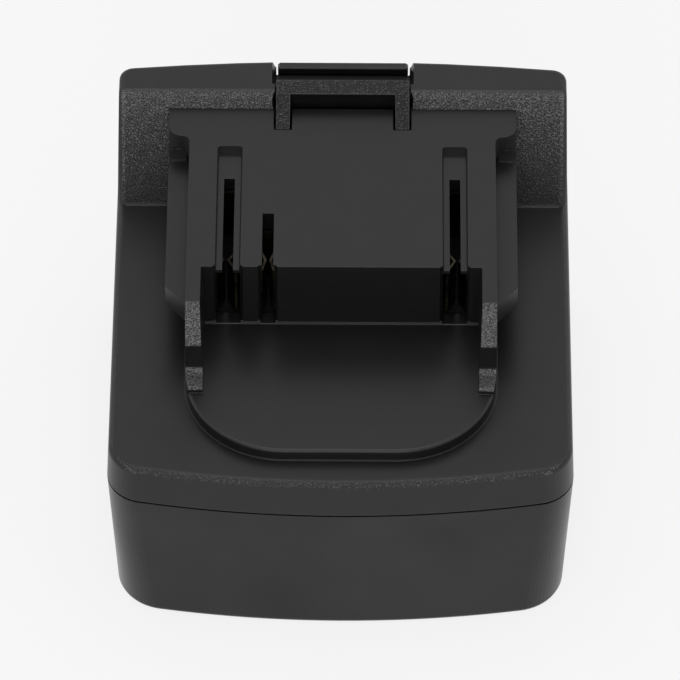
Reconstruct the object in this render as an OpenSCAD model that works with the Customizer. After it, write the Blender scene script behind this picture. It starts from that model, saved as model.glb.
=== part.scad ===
/* [Body] */
// Width of the housing at the parting line
body_w = 82.2; // [82:0.1:88]
// Length of the housing from front to rear
body_len = 86; // [86:0.5:94]
// Height of the lower shell, up to the parting line
shell_h = 29.8; // [29:0.2:34]
// Height of the cover's side wall above the parting line
cover_h = 8; // [7.5:0.25:11]
// How far the lower shell draws in towards its bottom on each side
shell_taper = 1.3; // [0.5:0.1:1.6]
// How far the cover draws in towards its top on each side
cover_taper = 0.3; // [0.1:0.05:0.6]
// Corner radius at the front, seen from above
front_corner_r = 7; // [6:0.5:9]
// Corner radius at the front, along the bottom edge
front_foot_r = 9; // [6:0.5:10]
// Corner radius at the rear, seen from above
rear_corner_r = 3.5; // [3:0.5:5]
// Radius of the bow of the front face
front_bow_r = 200; // [160:10:400]
// Radius of the bow of the rear face
rear_bow_r = 380; // [360:10:800]
// Wall thickness of both shells
wall = 2.2; // [1.8:0.1:2.6]
// Rounding of the cover's upper edge
edge_r = 1.2; // [0.6:0.1:1.6]
// Open shadow line between cover and lower shell
seam_gap = 0.4; // [0.2:0.05:0.6]
// Height of the locating lip inside the seam
lip_h = 2; // [1.5:0.1:3]
// Thickness of the locating lip
lip_t = 1; // [0.8:0.05:1.1]

/* [Hood] */
// Height of the hood above the rail deck
hood_rise = 2.7; // [2.2:0.1:3]
// Distance from the rear face to the foot of the hood's front slope
hood_len = 17.8; // [17.5:0.1:19]
// Angle of the front slope from the horizontal
hood_angle = 65; // [62:1:70]
// Bulge of the front slope at half its height
slope_bow = 0.5; // [0.1:0.1:0.8]
// Rounding where the slope meets the hood's top
hood_edge_r = 2.2; // [1:0.1:3]
// Rounding where the slope meets the hood's sides
hood_side_r = 1.6; // [0.8:0.1:2.5]
// Fillet at the foot of the slope
hood_foot_r = 0.7; // [0.4:0.1:2.5]
// Step in from the cover's side to the hood's side
hood_inset = 0.3; // [0.2:0.05:0.6]
// How far the hood draws in towards its top on each side
hood_draft = 0.5; // [0.2:0.05:0.8]
// Depth of the saddle that the release button stands in
saddle_depth = 2; // [1.8:0.1:2.1]
// How far the saddle's sides lean outward over their height
saddle_lean = 0.6; // [0.3:0.1:0.8]
// Fillet along the saddle's floor
saddle_fillet_r = 1.1; // [0.6:0.1:1.2]
// Radius of the scooped relief beside the latch
scoop_r = 1.8; // [1.5:0.1:2]
// Depth of the scooped relief into the hood beside the latch
scoop_w = 0.45; // [0.3:0.05:0.5]

/* [Rail deck] */
// Height of the deck above the cover
deck_h = 17; // [16:0.25:20]
// Width of the raised centre of the deck
deck_w = 54.8; // [54:0.1:56]
// Width over the rail flanges
flange_w = 62.4; // [61.5:0.1:64]
// Step from the deck down to the flange's upper face
flange_drop = 5; // [4:0.1:5.5]
// Thickness of a rail flange
flange_t = 4.5; // [3.5:0.1:5]
// Length of the slanted front end of a flange
flange_nose = 4.5; // [3:0.1:6]
// How far the flange's slanted end starts behind the deck's front wall
flange_setback = 0.1; // [-1:0.1:1]
// Length of the wide rear shoulder of the deck, at deck level
shoulder_len = 7; // [6.5:0.1:8]
// Fillet at the foot of the shoulder
shoulder_foot_r = 1.6; // [0.8:0.1:2.5]
// Distance from the housing's front to the deck's front wall
deck_front = 36.6; // [35:0.1:38]
// Wall thickness of the deck block
deck_wall = 2.4; // [2:0.1:2.6]
// Thickness of the deck's top plate
deck_plate = 3; // [2.6:0.1:3.5]
// Thickness of the front pad
pad_t = 2.5; // [2:0.1:3]
// Length of the pad ahead of the front wall
pad_len = 30.6; // [29:0.1:31.5]
// Corner radius of the pad
pad_r = 17.5; // [14:0.1:20]
// Rounding of the pad's upper edge
pad_edge_r = 0.5; // [0.3:0.05:0.8]
// Width and height of the bead at the foot of the pad and of the front wall
foot_bead = 0.25; // [0.15:0.05:0.4]
// Thickness of a side ear at its top
ear_t = 2.6; // [2.2:0.1:3]
// How much thicker an ear is at its foot
ear_draft = 0.5; // [0.1:0.05:0.8]
// Length of the level top of an ear
ear_len = 9; // [7:0.1:11]
// Length of the sloping front of an ear
ear_slope_len = 3.8; // [2:0.1:5]
// Drop of the sloping front of an ear
ear_slope_drop = 6.8; // [4:0.1:8]
// Length of the low step ahead of an ear
ear_step_len = 4.2; // [2:0.1:5]
// Height of the low step above the pad
ear_step_h = 1.2; // [0.8:0.1:2]

/* [Contact slots] */
// Distance from the side of the deck to the middle of a power slot
slot_margin = 7.3; // [7:0.1:7.8]
// Width of a power slot
slot_w = 1.9; // [1.5:0.05:2.2]
// Distance from the hood's foot to the rear end of a power slot
slot_back = 8.7; // [8:0.1:11]
// Width of the recess around a power slot
recess_w = 4.5; // [4.3:0.05:5]
// Distance from the hood's foot to the rear end of a recess
recess_back = 1.8; // [1.5:0.1:3]
// Depth of the recess
recess_depth = 1.3; // [0.8:0.1:1.5]
// How far the recess narrows towards its floor on each side
recess_draft = 0.25; // [0.1:0.05:0.4]
// Length of the scooped rear end of the recess
recess_scoop = 1.9; // [1.5:0.1:4]
// Corner radius at the rear end of the recess
recess_r = 0.8; // [0.5:0.1:1.5]
// Distance from the left power slot to the signal slot
signal_pitch = 7.05; // [6.9:0.05:7.2]
// Width of the signal slot
signal_slot_w = 2.05; // [1.5:0.05:2.4]
// Length of the signal slot from the front wall
signal_slot_len = 13.1; // [12:0.1:14]
// Width of the signal pocket in the front wall
signal_pocket_w = 2.7; // [2.5:0.1:3]
// Chamfer at the mouth of each pocket
pocket_chamfer = 0.45; // [0.2:0.05:0.6]
// Height of a pocket's lower end above the pad
pocket_sill = 0.15; // [0.1:0.05:1]
// Thickness of the deck's edge over a pocket
pocket_lip = 0.8; // [0.6:0.1:1.2]

/* [Contacts] */
// Sheet thickness of the spring contacts
clip_t = 0.45; // [0.3:0.05:0.6]
// Distance between the two leaves of a power contact
clip_span = 3.8; // [3.4:0.1:4]
// Gap between the leaves at the pinch
clip_gap = 0.45; // [0.3:0.05:0.8]
// How far a power contact sits outward of its slot
clip_offset = 0.4; // [0:0.05:0.5]
// Distance between the two leaves of the signal contact
signal_span = 2.5; // [2.2:0.1:2.8]
// Drop from the deck to the contacts' upper edge
clip_drop = 4; // [3.5:0.1:5]
// Width of a contact's solder tail
tail_w = 2.4; // [1.8:0.1:2.8]
// Thickness of the contact block's base
block_base = 2.4; // [2:0.1:3]

/* [Latch] */
// Width over the two arms of the latch
latch_w = 23.9; // [23:0.1:24.5]
// Width of one arm
arm_w = 2.45; // [2:0.05:3]
// Height of the crossbar above the deck
latch_rise = 3; // [2.5:0.1:3.4]
// Depth of the crossbar from front to rear
bar_depth = 3.5; // [3:0.1:3.8]
// How far the crossbar's front stands behind the hood's slope, at deck level
bar_setback = 0.8; // [0.2:0.1:0.9]
// Length of the ramped arms ahead of the crossbar
arm_len = 5.8; // [4.5:0.1:6]
// Travel of the latch and its button
latch_travel = 4; // [3.6:0.1:4.2]
// Side gap between the latch and the hood
latch_gap = 0.25; // [0.2:0.05:0.4]
// Gap around the arms in the deck
arm_gap = 0.4; // [0.3:0.05:0.5]
// Thickness of the release button's plate
button_t = 1.4; // [1.2:0.1:1.6]
// Height of the release button's plate
button_h = 16; // [14:0.5:17]
// Distance of the button's upper edge below the hood's top
button_drop = 0.4; // [0:0.1:0.6]
// Number of grip ribs on the release button
grip_ribs = 5; // [3:1:6]

/* [Springs] */
// Outside diameter of a latch spring
spring_d = 5.3; // [4.8:0.1:6]
// Wire diameter of a latch spring
spring_wire = 0.7; // [0.5:0.05:0.8]
// Number of turns
spring_turns = 7; // [5:1:8]
// Distance between the two springs
spring_pitch = 15; // [13:0.5:16]

/* [Battery bay] */
// Width of the bay above its ledges
bay_w = 62; // [60:0.5:62]
// Height of the bay
bay_h = 22; // [21:0.5:23]
// Thickness of the bay's walls and roof
bay_wall = 2.2; // [1.8:0.1:2.5]
// Thickness of the housing in front of the bay
bay_front = 11; // [10:0.5:14]
// How far a ledge stands into the bay
ledge_w = 4; // [3:0.1:5]
// Thickness of a ledge
ledge_t = 4; // [3:0.1:5]
// Height of a ledge's lower face
ledge_z = 8; // [6:0.25:9]
// Length of the catch pocket across the bay's roof
catch_w = 18; // [14:0.5:22]
// Width of the catch pocket along the bay
catch_len = 6.5; // [5:0.25:8]
// Depth of the catch pocket
catch_depth = 4.8; // [4.2:0.1:5.5]
// Distance of the catch pocket from the rear face
catch_rear = 17; // [16.5:0.5:19]

/* [Terminal block] */
// Distance from a power blade to the end of the terminal block
terminal_margin = 5; // [4:0.5:7]
// Depth of the terminal block from front to rear
terminal_depth = 7.5; // [7:0.25:9]
// Height of the terminal block
terminal_h = 10.5; // [9.5:0.25:12]
// Distance between the two power blades
blade_pitch = 32; // [31:0.5:34]
// Distance of the signal blade from the centre line
signal_blade_x = 5; // [4.5:0.25:5.5]
// Thickness of a blade
blade_t = 0.8; // [0.6:0.05:1]
// Height of a blade
blade_h = 6; // [5:0.25:7]
// Free length of a blade
blade_len = 10.5; // [8:0.25:13]

/* [Wires] */
// Diameter of a power wire over its insulation
power_wire_d = 2.6; // [2:0.1:2.8]
// Diameter of the signal wire over its insulation
signal_wire_d = 1.6; // [1.2:0.1:2]
// Wall thickness of a shrink sleeve
sleeve_t = 0.3; // [0.2:0.05:0.4]
// Length of a shrink sleeve
sleeve_len = 5; // [4:0.25:5]

/* [Screws] */
// Shank diameter of the screws
screw_d = 2.6; // [2.4:0.1:2.8]
// Head diameter of the screws
head_d = 4.6; // [4.2:0.1:4.8]
// Head height of the screws
head_h = 1.8; // [1.5:0.1:2.2]
// Grip of a screw's thread in its boss
thread_grip = 4.5; // [4:0.25:4.5]
// Height of the case screws' seat above the bottom
case_seat = 12; // [8:0.5:16]
// Distance of the front pair of case screws from the front
case_front = 14; // [13:0.5:16]
// Distance of the rear pair of case screws from the rear
case_rear = 8; // [7.5:0.5:9]

/* [Fits] */
// Clearance of a screw in its clearance hole, on the radius
hole_gap = 0.35; // [0.2:0.05:0.5]
// Clearance of a screw in its pilot hole, on the radius
pilot_gap = 0.03; // [0.01:0.01:0.05]
// Clearance of a pressed pin or blade in its seat
seat_gap = 0.05; // [0.02:0.01:0.08]
// Clearance between sliding parts
slide_gap = 0.3; // [0.25:0.05:0.4]

/* [Hidden] */

shell_black = "#232323";
cover_black = "#2b2b2b";
deck_black = "#262626";
latch_black = "#1d1d1d";
block_grey = "#3a3a3c";
brass = "#c8a24a";
tin = "#c4c6c8";
spring_steel = "#9aa0a6";
screw_steel = "#8b9097";

eps = 0.01;
half_w = body_w / 2;
front_y = -body_len / 2;
rear_y = body_len / 2;
flat_z = shell_h + cover_h;
deck_z = flat_z + deck_h;
hood_z = deck_z + hood_rise;
pad_z = flat_z + pad_t;
roof_z = flat_z - wall;

front_bow_y = front_y + front_bow_r;
rear_bow_y = rear_y - rear_bow_r;
foot_soft = front_foot_r + shell_taper - front_corner_r;
rear_corner_x = half_w - rear_corner_r;
rear_corner_y = rear_bow_y + sqrt(pow(rear_bow_r - rear_corner_r, 2) - pow(rear_corner_x, 2));
rear_turn = atan2(rear_corner_y - rear_bow_y, rear_corner_x);

hood_foot_y = rear_y - hood_len;
hood_face_y = rear_y - 0.5;

deck_y = front_y + deck_front;
pad_front_y = deck_y - pad_len;
shoulder_y = slope_y(deck_z) - shoulder_len;
shoulder_r = (flange_w - deck_w) / 2 * 0.65;
shoulder_hollow_r = (flange_w - deck_w) / 2 - shoulder_r;
flange_top = deck_z - flange_drop;
flange_bottom = flange_top - flange_t;
slot_x = deck_w / 2 - slot_margin;
signal_x = slot_x - signal_pitch;
clip_x = slot_x + clip_offset;
recess_z = deck_z - recess_depth;
plate_z = deck_z - deck_plate;
cavity_x = deck_w / 2 - deck_wall;
cavity_front = deck_y + deck_wall;
cavity_rear = hood_foot_y - deck_wall + 0.6;
channel_wall = 1.2;
channel_side = 0.4;
clip_channel = clip_span / 2 + clip_t / 2 + channel_side + channel_wall;
signal_channel = signal_span / 2 + clip_t / 2 + channel_side + channel_wall;
deck_boss_r = screw_d / 2 + 1.7;
deck_boss_front = [signal_x - signal_channel - deck_boss_r - slide_gap, deck_y + 9.4];
deck_boss_rear = [clip_x - clip_channel - deck_boss_r - slide_gap, cavity_rear - deck_boss_r + 0.4];

clip_top = deck_z - clip_drop;
clip_bottom = flat_z + block_base + slide_gap;
pinch_y = deck_y + 5.4;
flare_len = 2.6;
neck_len = 2.2;
slot_rear = hood_foot_y - slot_back;
recess_rear = hood_foot_y - recess_back;
clip_rear = slot_rear - 0.4;
signal_rear = deck_y + signal_slot_len - 0.4;
block_top = plate_z - slide_gap;
tail_bottom = roof_z - 1.3;
tail_window = 4.6;

bar_rear_y = slope_y(deck_z) + bar_setback + bar_depth;
bar_front_y = bar_rear_y - bar_depth;
arm_front_y = bar_front_y - arm_len;
latch_top = deck_z + latch_rise;
latch_half = latch_w / 2;
arm_inner = latch_half - arm_w;
saddle_z = hood_z - saddle_depth;
saddle_under = saddle_z - 2;
hood_under = hood_z - wall;
latch_wing_top = hood_under - slide_gap;
latch_wing_h = 3;
latch_plate_z = flat_z + 1.5;
latch_plate_t = 2.5;
notch_half = latch_half + latch_gap;
notch_front = arm_front_y - slide_gap;
notch_rear = bar_rear_y + slide_gap;
guide_half = notch_half + 1.9;
button_half = latch_half - 0.2;
button_top = hood_z - button_drop;
button_rear = hood_face_y - 0.2;
button_front = button_rear - button_t;
flange_plate_t = 1.4;
button_flange_half = guide_half - slide_gap;
button_wall_y = rear_bow_y + hood_draft + sqrt(pow(rear_bow_r - wall - hood_inset - hood_draft, 2) - pow(button_flange_half, 2));
button_flange_rear = min(button_wall_y - slide_gap, button_front);
button_flange_front = button_flange_rear - flange_plate_t;
button_flange_top = saddle_under - slide_gap;
button_flange_bottom = button_top - button_h - latch_travel - 2;
bridge_half = 7;
bridge_z = latch_plate_z + latch_plate_t + 1.5;
bridge_h = 6;
pin_r = 1.25;
pin_x = 4.5;
pin_len = 1.8;

bay_half = bay_w / 2;
bay_front_y = front_y + bay_front;
bay_roof_top = bay_h + bay_wall;
ledge_half = bay_half - ledge_w;
catch_y = rear_y - catch_rear;

spring_y = (bar_front_y + bar_rear_y) / 2;
spring_x = spring_pitch / 2;
spring_seat_z = bay_roof_top + 2;
spring_r = (spring_d - spring_wire) / 2;
peg_r = spring_r - spring_wire / 2 - 0.3;
peg_h = 2.2;

terminal_w = blade_pitch + 2 * terminal_margin;
terminal_rear_y = bay_front_y + terminal_depth;
blade_z = bay_h - terminal_h + 1.6;
blade_y = bay_front_y + 1.2;
riser_len = 3;
tail_z = bay_roof_top + 3.6;
tail_h = 2;
tail_end_y = blade_y + 5;
terminal_screw = [10.5, bay_front_y + 3.6];
terminal_seat = bay_h - 5.5;
terminal_boss_top = bay_roof_top + thread_grip;

screw_r = screw_d / 2;
pilot_r = screw_r + pilot_gap;
clear_r = screw_r + hole_gap;
head_r = head_d / 2;
head_hole_r = head_r + hole_gap;
case_boss_r = head_hole_r + 1.5;
case_x = half_w - shell_taper - head_hole_r - 1.6;
case_front_y = front_y + case_front;
case_rear_y = rear_y - case_rear;
column_top = shell_h + lip_h;
cross_w = 0.7;

power_r = power_wire_d / 2;
signal_r = signal_wire_d / 2;

// Y of the hood's bowed front slope at height z
function slope_y(z) =
    let (t = (z - flat_z) / (hood_z - flat_z))
    hood_foot_y + (z - flat_z) / tan(hood_angle) - slope_bow * 4 * t * (1 - t) / sin(hood_angle);

// [y, z] points up the slope from its foot, moved back by back
function slope_line(back) = [
    for (i = [0:6])
        let (z = flat_z + (hood_z - flat_z - 3.2) * i / 6)
        [slope_y(z) + back, z, 0]
];

function arc_points(c, r, a0, a1, n) =
    [for (i = [0:n]) let (a = a0 + (a1 - a0) * i / n) c + r * [cos(a), sin(a)]];

function unit(v) = v / norm(v);

// Corner p between a and b, rounded to radius r on either side of the outline
function round_corner(p, a, b, r, n) =
    r <= 0 ? [p] :
    let (
        u = unit(a - p),
        v = unit(b - p),
        half = acos(u * v) / 2,
        c = p + unit(u + v) * r / sin(half),
        s = p + u * r / tan(half) - c,
        e = p + v * r / tan(half) - c,
        a0 = atan2(s.y, s.x),
        turn = ((atan2(e.y, e.x) - a0 + 540) % 360) - 180
    ) arc_points(c, r, a0, a0 + turn, n);

// Outline from [x, y, radius] corners
function rounded(corners, n = 6) = [
    for (i = [0:len(corners) - 1])
        let (
            last = corners[(i + len(corners) - 1) % len(corners)],
            here = corners[i],
            next = corners[(i + 1) % len(corners)]
        )
        each round_corner([here.x, here.y], [last.x, last.y], [next.x, next.y], here[2], n)
];

// Plan of the housing, drawn in by d, with its front corners rounder by soft
function body_plan(d, soft = 0) =
    let (
        r = front_corner_r + soft,
        x = half_w - r,
        y = front_bow_y - sqrt(pow(front_bow_r - r, 2) - pow(x, 2)),
        turn = atan2(y - front_bow_y, x)
    )
    concat(
        arc_points([0, front_bow_y], front_bow_r - d, -180 - turn, turn, 20),
        arc_points([x, y], r - d, turn, 0, 14),
        arc_points([rear_corner_x, rear_corner_y], rear_corner_r - d, 0, rear_turn, 8),
        arc_points([0, rear_bow_y], rear_bow_r - d, rear_turn, 180 - rear_turn, 8),
        arc_points([-rear_corner_x, rear_corner_y], rear_corner_r - d, 180 - rear_turn, 180, 8),
        arc_points([-x, y], r - d, 180, 180 - turn, 14)
    );

// Plan of the pad and the ears, drawn in by d
function pad_plan(d) = rounded([
    [-deck_w / 2 + d, deck_y + deck_wall, 0],
    [-deck_w / 2 + d, pad_front_y + d, pad_r - d],
    [deck_w / 2 - d, pad_front_y + d, pad_r - d],
    [deck_w / 2 - d, deck_y + deck_wall, 0]
], 14);

// Extrudes a [y, z] outline over the width w, centred on x = 0
module across(w) {
    rotate([90, 0, 90]) linear_extrude(w, center = true) children();
}

// Extrudes an [x, z] outline from y0 to y1
module along(y0, y1) {
    translate([0, y1, 0]) rotate([90, 0, 0]) linear_extrude(y1 - y0) children();
}

module slab(x0, x1, y0, y1, z0, z1) {
    translate([x0, y0, z0]) cube([x1 - x0, y1 - y0, z1 - z0]);
}

module post(x, y, z0, z1, r) {
    translate([x, y, z0]) cylinder(h = z1 - z0, r = r, $fn = 40);
}

module both_sides() {
    children();
    mirror([1, 0, 0]) children();
}

module thin_plan(d, z, soft = 0) {
    translate([0, 0, z]) linear_extrude(eps) polygon(body_plan(d, soft));
}

module case_screw_places() {
    for (x = [-case_x, case_x], y = [case_front_y, case_rear_y]) translate([x, y, 0]) children();
}

module deck_screw_places() {
    for (s = [-1, 1], p = [deck_boss_front, deck_boss_rear]) translate([s * p.x, p.y, 0]) children();
}

module terminal_screw_places() {
    for (s = [-1, 1]) translate([s * terminal_screw.x, terminal_screw.y, 0]) children();
}

// Lower shell: drafted skirt, battery bay with ledges, screw columns
module shell_skin() {
    hull() {
        thin_plan(shell_taper + 0.5, 0, foot_soft);
        thin_plan(shell_taper + 0.15, 0.15, foot_soft);
        thin_plan(shell_taper - 0.02, 0.6, foot_soft);
        thin_plan(0, shell_h - seam_gap / 2 - eps);
    }
}

module bay_block() {
    intersection() {
        slab(-bay_half - bay_wall, bay_half + bay_wall, bay_front_y - bay_wall, rear_y, 0, bay_roof_top);
        translate([0, 0, -1]) linear_extrude(bay_roof_top + 2) polygon(body_plan(shell_taper + 0.9, foot_soft));
    }
}

module bay_void() {
    slab(-bay_half, bay_half, bay_front_y, rear_y + 1, -1, bay_h);
}

module bay_ledges() {
    lead = ledge_w * 0.6;
    both_sides()
        translate([0, 0, ledge_z]) linear_extrude(ledge_t) polygon([
            [bay_half + bay_wall / 2, bay_front_y - bay_wall / 2],
            [ledge_half, bay_front_y - bay_wall / 2],
            [ledge_half, rear_y - shell_taper - 1 - 2 * lead],
            [ledge_half + lead, rear_y - shell_taper - 1],
            [bay_half + bay_wall / 2, rear_y - shell_taper - 1]
        ]);
}

module lower_shell() {
    color(shell_black) difference() {
        union() {
            difference() {
                shell_skin();
                translate([0, 0, wall]) linear_extrude(shell_h) polygon(body_plan(wall + shell_taper * 0.6, foot_soft));
            }
            bay_block();
            // Locating lip
            translate([0, 0, shell_h - 4]) linear_extrude(lip_h + 4) difference() {
                polygon(body_plan(wall - lip_t));
                polygon(body_plan(wall));
            }
            intersection() {
                case_screw_places() cylinder(h = column_top, r = case_boss_r, $fn = 40);
                hull() {
                    thin_plan(shell_taper + 1, 0, foot_soft);
                    thin_plan(wall - lip_t + 0.2, column_top);
                }
            }
            terminal_screw_places()
                translate([0, 0, bay_h]) cylinder(h = terminal_boss_top - bay_h, r = screw_r + 1.6, $fn = 40);
            for (s = [-1, 1]) {
                post(s * spring_x, spring_y, bay_h, spring_seat_z, spring_d / 2 + 0.8);
                post(s * spring_x, spring_y, bay_h, spring_seat_z + peg_h, peg_r);
            }
            // Roof over the catch pocket
            slab(-catch_w / 2 - 1.5, catch_w / 2 + 1.5, catch_y - catch_len / 2 - 1.5, catch_y + catch_len / 2 + 1.5,
                bay_h, bay_h + catch_depth + 1.5);
        }
        difference() {
            bay_void();
            bay_ledges();
        }
        slab(-catch_w / 2, catch_w / 2, catch_y - catch_len / 2, catch_y + catch_len / 2, bay_h - 1, bay_h + catch_depth);
        case_screw_places() {
            translate([0, 0, -1]) cylinder(h = case_seat + 1, r = head_hole_r, $fn = 40);
            cylinder(h = column_top + 1, r = clear_r, $fn = 40);
        }
        terminal_screw_places() translate([0, 0, bay_h - 1]) cylinder(h = thread_grip + bay_wall + 2, r = pilot_r, $fn = 40);
        // Slots in the roof for the blades' risers
        for (x = [-blade_pitch / 2, -signal_blade_x, blade_pitch / 2])
            slab(x - blade_t, x + blade_t, blade_y - slide_gap, blade_y + riser_len + slide_gap, bay_h - 1, bay_roof_top + 1);
    }
}

// Top cover: roof, raised hood with its latch notch, and screw bosses
module cover_skin() {
    hull() {
        thin_plan(0, shell_h + seam_gap / 2);
        for (a = [0:15:90])
            thin_plan(cover_taper + edge_r * (1 - cos(a)), flat_z - edge_r * (1 - sin(a)) - eps);
    }
}

// [y, z] outline of the hood, drawn in by d
function hood_profile(d) = rounded(concat(
    [[hood_foot_y + d / sin(hood_angle), shell_h + 2, 0]],
    slope_line(d / sin(hood_angle)),
    [
        [slope_y(hood_z - d) + d / sin(hood_angle), hood_z - d, max(hood_edge_r - d, 0.4)],
        [rear_y + 5, hood_z - d, 0],
        [rear_y + 5, shell_h + 2, 0]
    ]
));

// The sides draw in towards the top and the rear face stays upright
module hood_skin() {
    intersection() {
        hull() {
            thin_plan(hood_inset, shell_h + 2);
            for (a = [0:30:90]) translate([0, hood_draft, 0])
                thin_plan(hood_inset + hood_draft + 0.8 * (1 - cos(a)), hood_z - 0.8 * (1 - sin(a)) - eps);
        }
        hull() {
            for (a = [0:22.5:90])
                across(2 * (half_w - hood_inset - hood_side_r * (1 - sin(a))))
                    polygon(hood_profile(hood_side_r * (1 - cos(a))));
        }
    }
}

module hood_foot() {
    side = (half_w - hood_inset - hood_side_r) - (flange_w / 2 + 0.4);
    both_sides()
        translate([flange_w / 2 + 0.4 + side / 2, 0, 0])
            across(side) polygon(rounded([
                [hood_foot_y - 4, roof_z + 1, 0],
                [hood_foot_y - 4, flat_z - eps, 0],
                [hood_foot_y, flat_z - eps, hood_foot_r],
                [slope_y(flat_z + 4), flat_z + 4, 0],
                [slope_y(flat_z + 4) + 0.5, flat_z + 4, 0],
                [hood_foot_y + 0.5, roof_z + 1, 0]
            ]));
}

module hood_void() {
    inner = wall / sin(hood_angle);
    intersection() {
        across(body_w) polygon([
            [slope_y(roof_z) + inner, roof_z - 1],
            [slope_y(roof_z) + inner, roof_z],
            [slope_y(hood_under) + inner, hood_under],
            [rear_y, hood_under],
            [rear_y, roof_z - 1]
        ]);
        translate([0, hood_draft, roof_z - 2]) linear_extrude(hood_z - roof_z)
            polygon(body_plan(wall + hood_inset + hood_draft));
    }
}

// Opening of the saddle across the hood, with leaning sides and a filleted floor
module saddle_cut() {
    lean = saddle_lean * (saddle_depth + 1) / saddle_depth;
    along(notch_rear - 1, rear_y + 5) polygon(rounded([
        [-notch_half - lean, hood_z + 1, 0],
        [-notch_half, saddle_z, saddle_fillet_r],
        [notch_half, saddle_z, saddle_fillet_r],
        [notch_half + lean, hood_z + 1, 0]
    ]));
}

module top_cover() {
    color(cover_black) difference() {
        union() {
            difference() {
                union() {
                    cover_skin();
                    hood_skin();
                    hood_foot();
                }
                translate([0, 0, shell_h - 1]) linear_extrude(roof_z - shell_h + 1) polygon(body_plan(wall));
                // Rebate that takes the lower shell's lip
                translate([0, 0, shell_h - 1]) linear_extrude(lip_h + 1) polygon(body_plan(wall - lip_t - seat_gap));
                hood_void();
            }
            case_screw_places() translate([0, 0, column_top]) cylinder(h = roof_z + 0.5 - column_top, r = screw_r + 1.9, $fn = 40);
            // Bosses of the rear pair reach up to the hood's underside
            for (s = [-1, 1]) slab(s * case_x - 1, s * case_x + 1, case_rear_y + screw_r + 0.8,
                rear_y - wall, column_top + 1, hood_under + 0.5);
            // Guide walls beside the latch
            both_sides() intersection() {
                slab(guide_half, guide_half + 1.6, notch_front, button_flange_rear, roof_z, hood_under + 0.5);
                across(body_w) polygon([
                    [slope_y(roof_z) + 1, roof_z],
                    [slope_y(hood_under) + 1, hood_under + 0.5],
                    [rear_y, hood_under + 0.5],
                    [rear_y, roof_z]
                ]);
            }
            // Floor of the saddle
            slab(-notch_half - 1, notch_half + 1, notch_rear, button_front - latch_gap, saddle_under, saddle_z + 0.5);
        }
        saddle_cut();
        slab(-notch_half, notch_half, notch_front, notch_rear, roof_z - 1, hood_z + 1);
        for (s = [-1, 1]) post(s * (notch_half + scoop_w - scoop_r), bar_front_y - 0.1, deck_z - 1, hood_z + 1, scoop_r);
        // Window for the release button in the rear wall
        slab(-button_half - slide_gap, button_half + slide_gap, button_flange_rear, rear_y + 1,
            button_top - button_h - latch_travel - arm_gap, saddle_under);
        slab(-button_half - slide_gap, button_half + slide_gap, button_front - latch_gap, rear_y + 1,
            saddle_under - eps, hood_z + 1);
        case_screw_places() translate([0, 0, column_top - 1]) cylinder(h = thread_grip + 1, r = pilot_r, $fn = 40);
        deck_screw_places() translate([0, 0, roof_z - 1]) cylinder(h = wall + 2, r = clear_r, $fn = 40);
        // Windows for the contacts' tails
        for (p = [[-clip_x, clip_rear], [clip_x, clip_rear], [-signal_x, signal_rear]])
            slab(p.x - tail_window / 2, p.x + tail_window / 2, p.y - tail_window / 2, p.y + tail_window / 2, roof_z - 1, flat_z + 1);
    }
}

// Slide deck: rail block, pad, ears, contact slots and latch slots
module deck_limit() {
    across(flange_w + 2) polygon(concat(
        [[pad_front_y - 1, deck_z + 1], [pad_front_y - 1, flat_z]],
        [for (p = slope_line(-seat_gap)) if (p.y < deck_z) [p.x, p.y]],
        [[slope_y(deck_z + 1) - seat_gap, deck_z + 1]]
    ));
}

// Plan of the deck level, with the wide rear shoulder
module deck_plan() {
    inner = deck_w / 2;
    outer = flange_w / 2;
    polygon(rounded([
        [-inner, deck_y, 0],
        [inner, deck_y, 0],
        [inner, shoulder_y, shoulder_hollow_r],
        [outer, shoulder_y, shoulder_r],
        [outer, rear_y, 0],
        [-outer, rear_y, 0],
        [-outer, shoulder_y, shoulder_r],
        [-inner, shoulder_y, shoulder_hollow_r]
    ]));
}

module flange_plan() {
    nose_y = deck_y - flange_setback;
    both_sides() polygon([
        [0, nose_y - flange_nose],
        [deck_w / 2, nose_y - flange_nose],
        [flange_w / 2, nose_y],
        [flange_w / 2, rear_y],
        [0, rear_y]
    ]);
}

// [y, z] outline of an ear
function ear_profile() = rounded([
    [deck_y + deck_wall, pad_z - 1, 0],
    [deck_y + deck_wall, deck_z, 0],
    [deck_y - ear_len, deck_z, 0.5],
    [deck_y - ear_len - ear_slope_len, deck_z - ear_slope_drop, 1.2],
    [deck_y - ear_len - ear_slope_len, pad_z + ear_step_h, 1.2],
    [deck_y - ear_len - ear_slope_len - ear_step_len, pad_z + ear_step_h, 0.6],
    [deck_y - ear_len - ear_slope_len - ear_step_len, pad_z - 1, 0]
]);

module ear_wall() {
    intersection() {
        across(deck_w + 2) polygon(ear_profile());
        both_sides() along(pad_front_y, deck_y + deck_wall) polygon([
            [deck_w / 2, pad_z - 1],
            [deck_w / 2, deck_z + 1],
            [deck_w / 2 - ear_t, deck_z + 1],
            [deck_w / 2 - ear_t, deck_z],
            [deck_w / 2 - ear_t - ear_draft, pad_z],
            [deck_w / 2 - ear_t - ear_draft, pad_z - 1]
        ]);
        translate([0, 0, flat_z]) linear_extrude(deck_h + 1) polygon(pad_plan(0));
    }
}

// Thin beads that ease the foot of the pad and of the front wall
module foot_beads() {
    translate([0, 0, flat_z]) linear_extrude(foot_bead) polygon(pad_plan(-foot_bead - 0.1));
    slab(-deck_w / 2 + ear_t, deck_w / 2 - ear_t, deck_y - foot_bead, deck_y + 1, pad_z - 0.5, pad_z + foot_bead);
}

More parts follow.
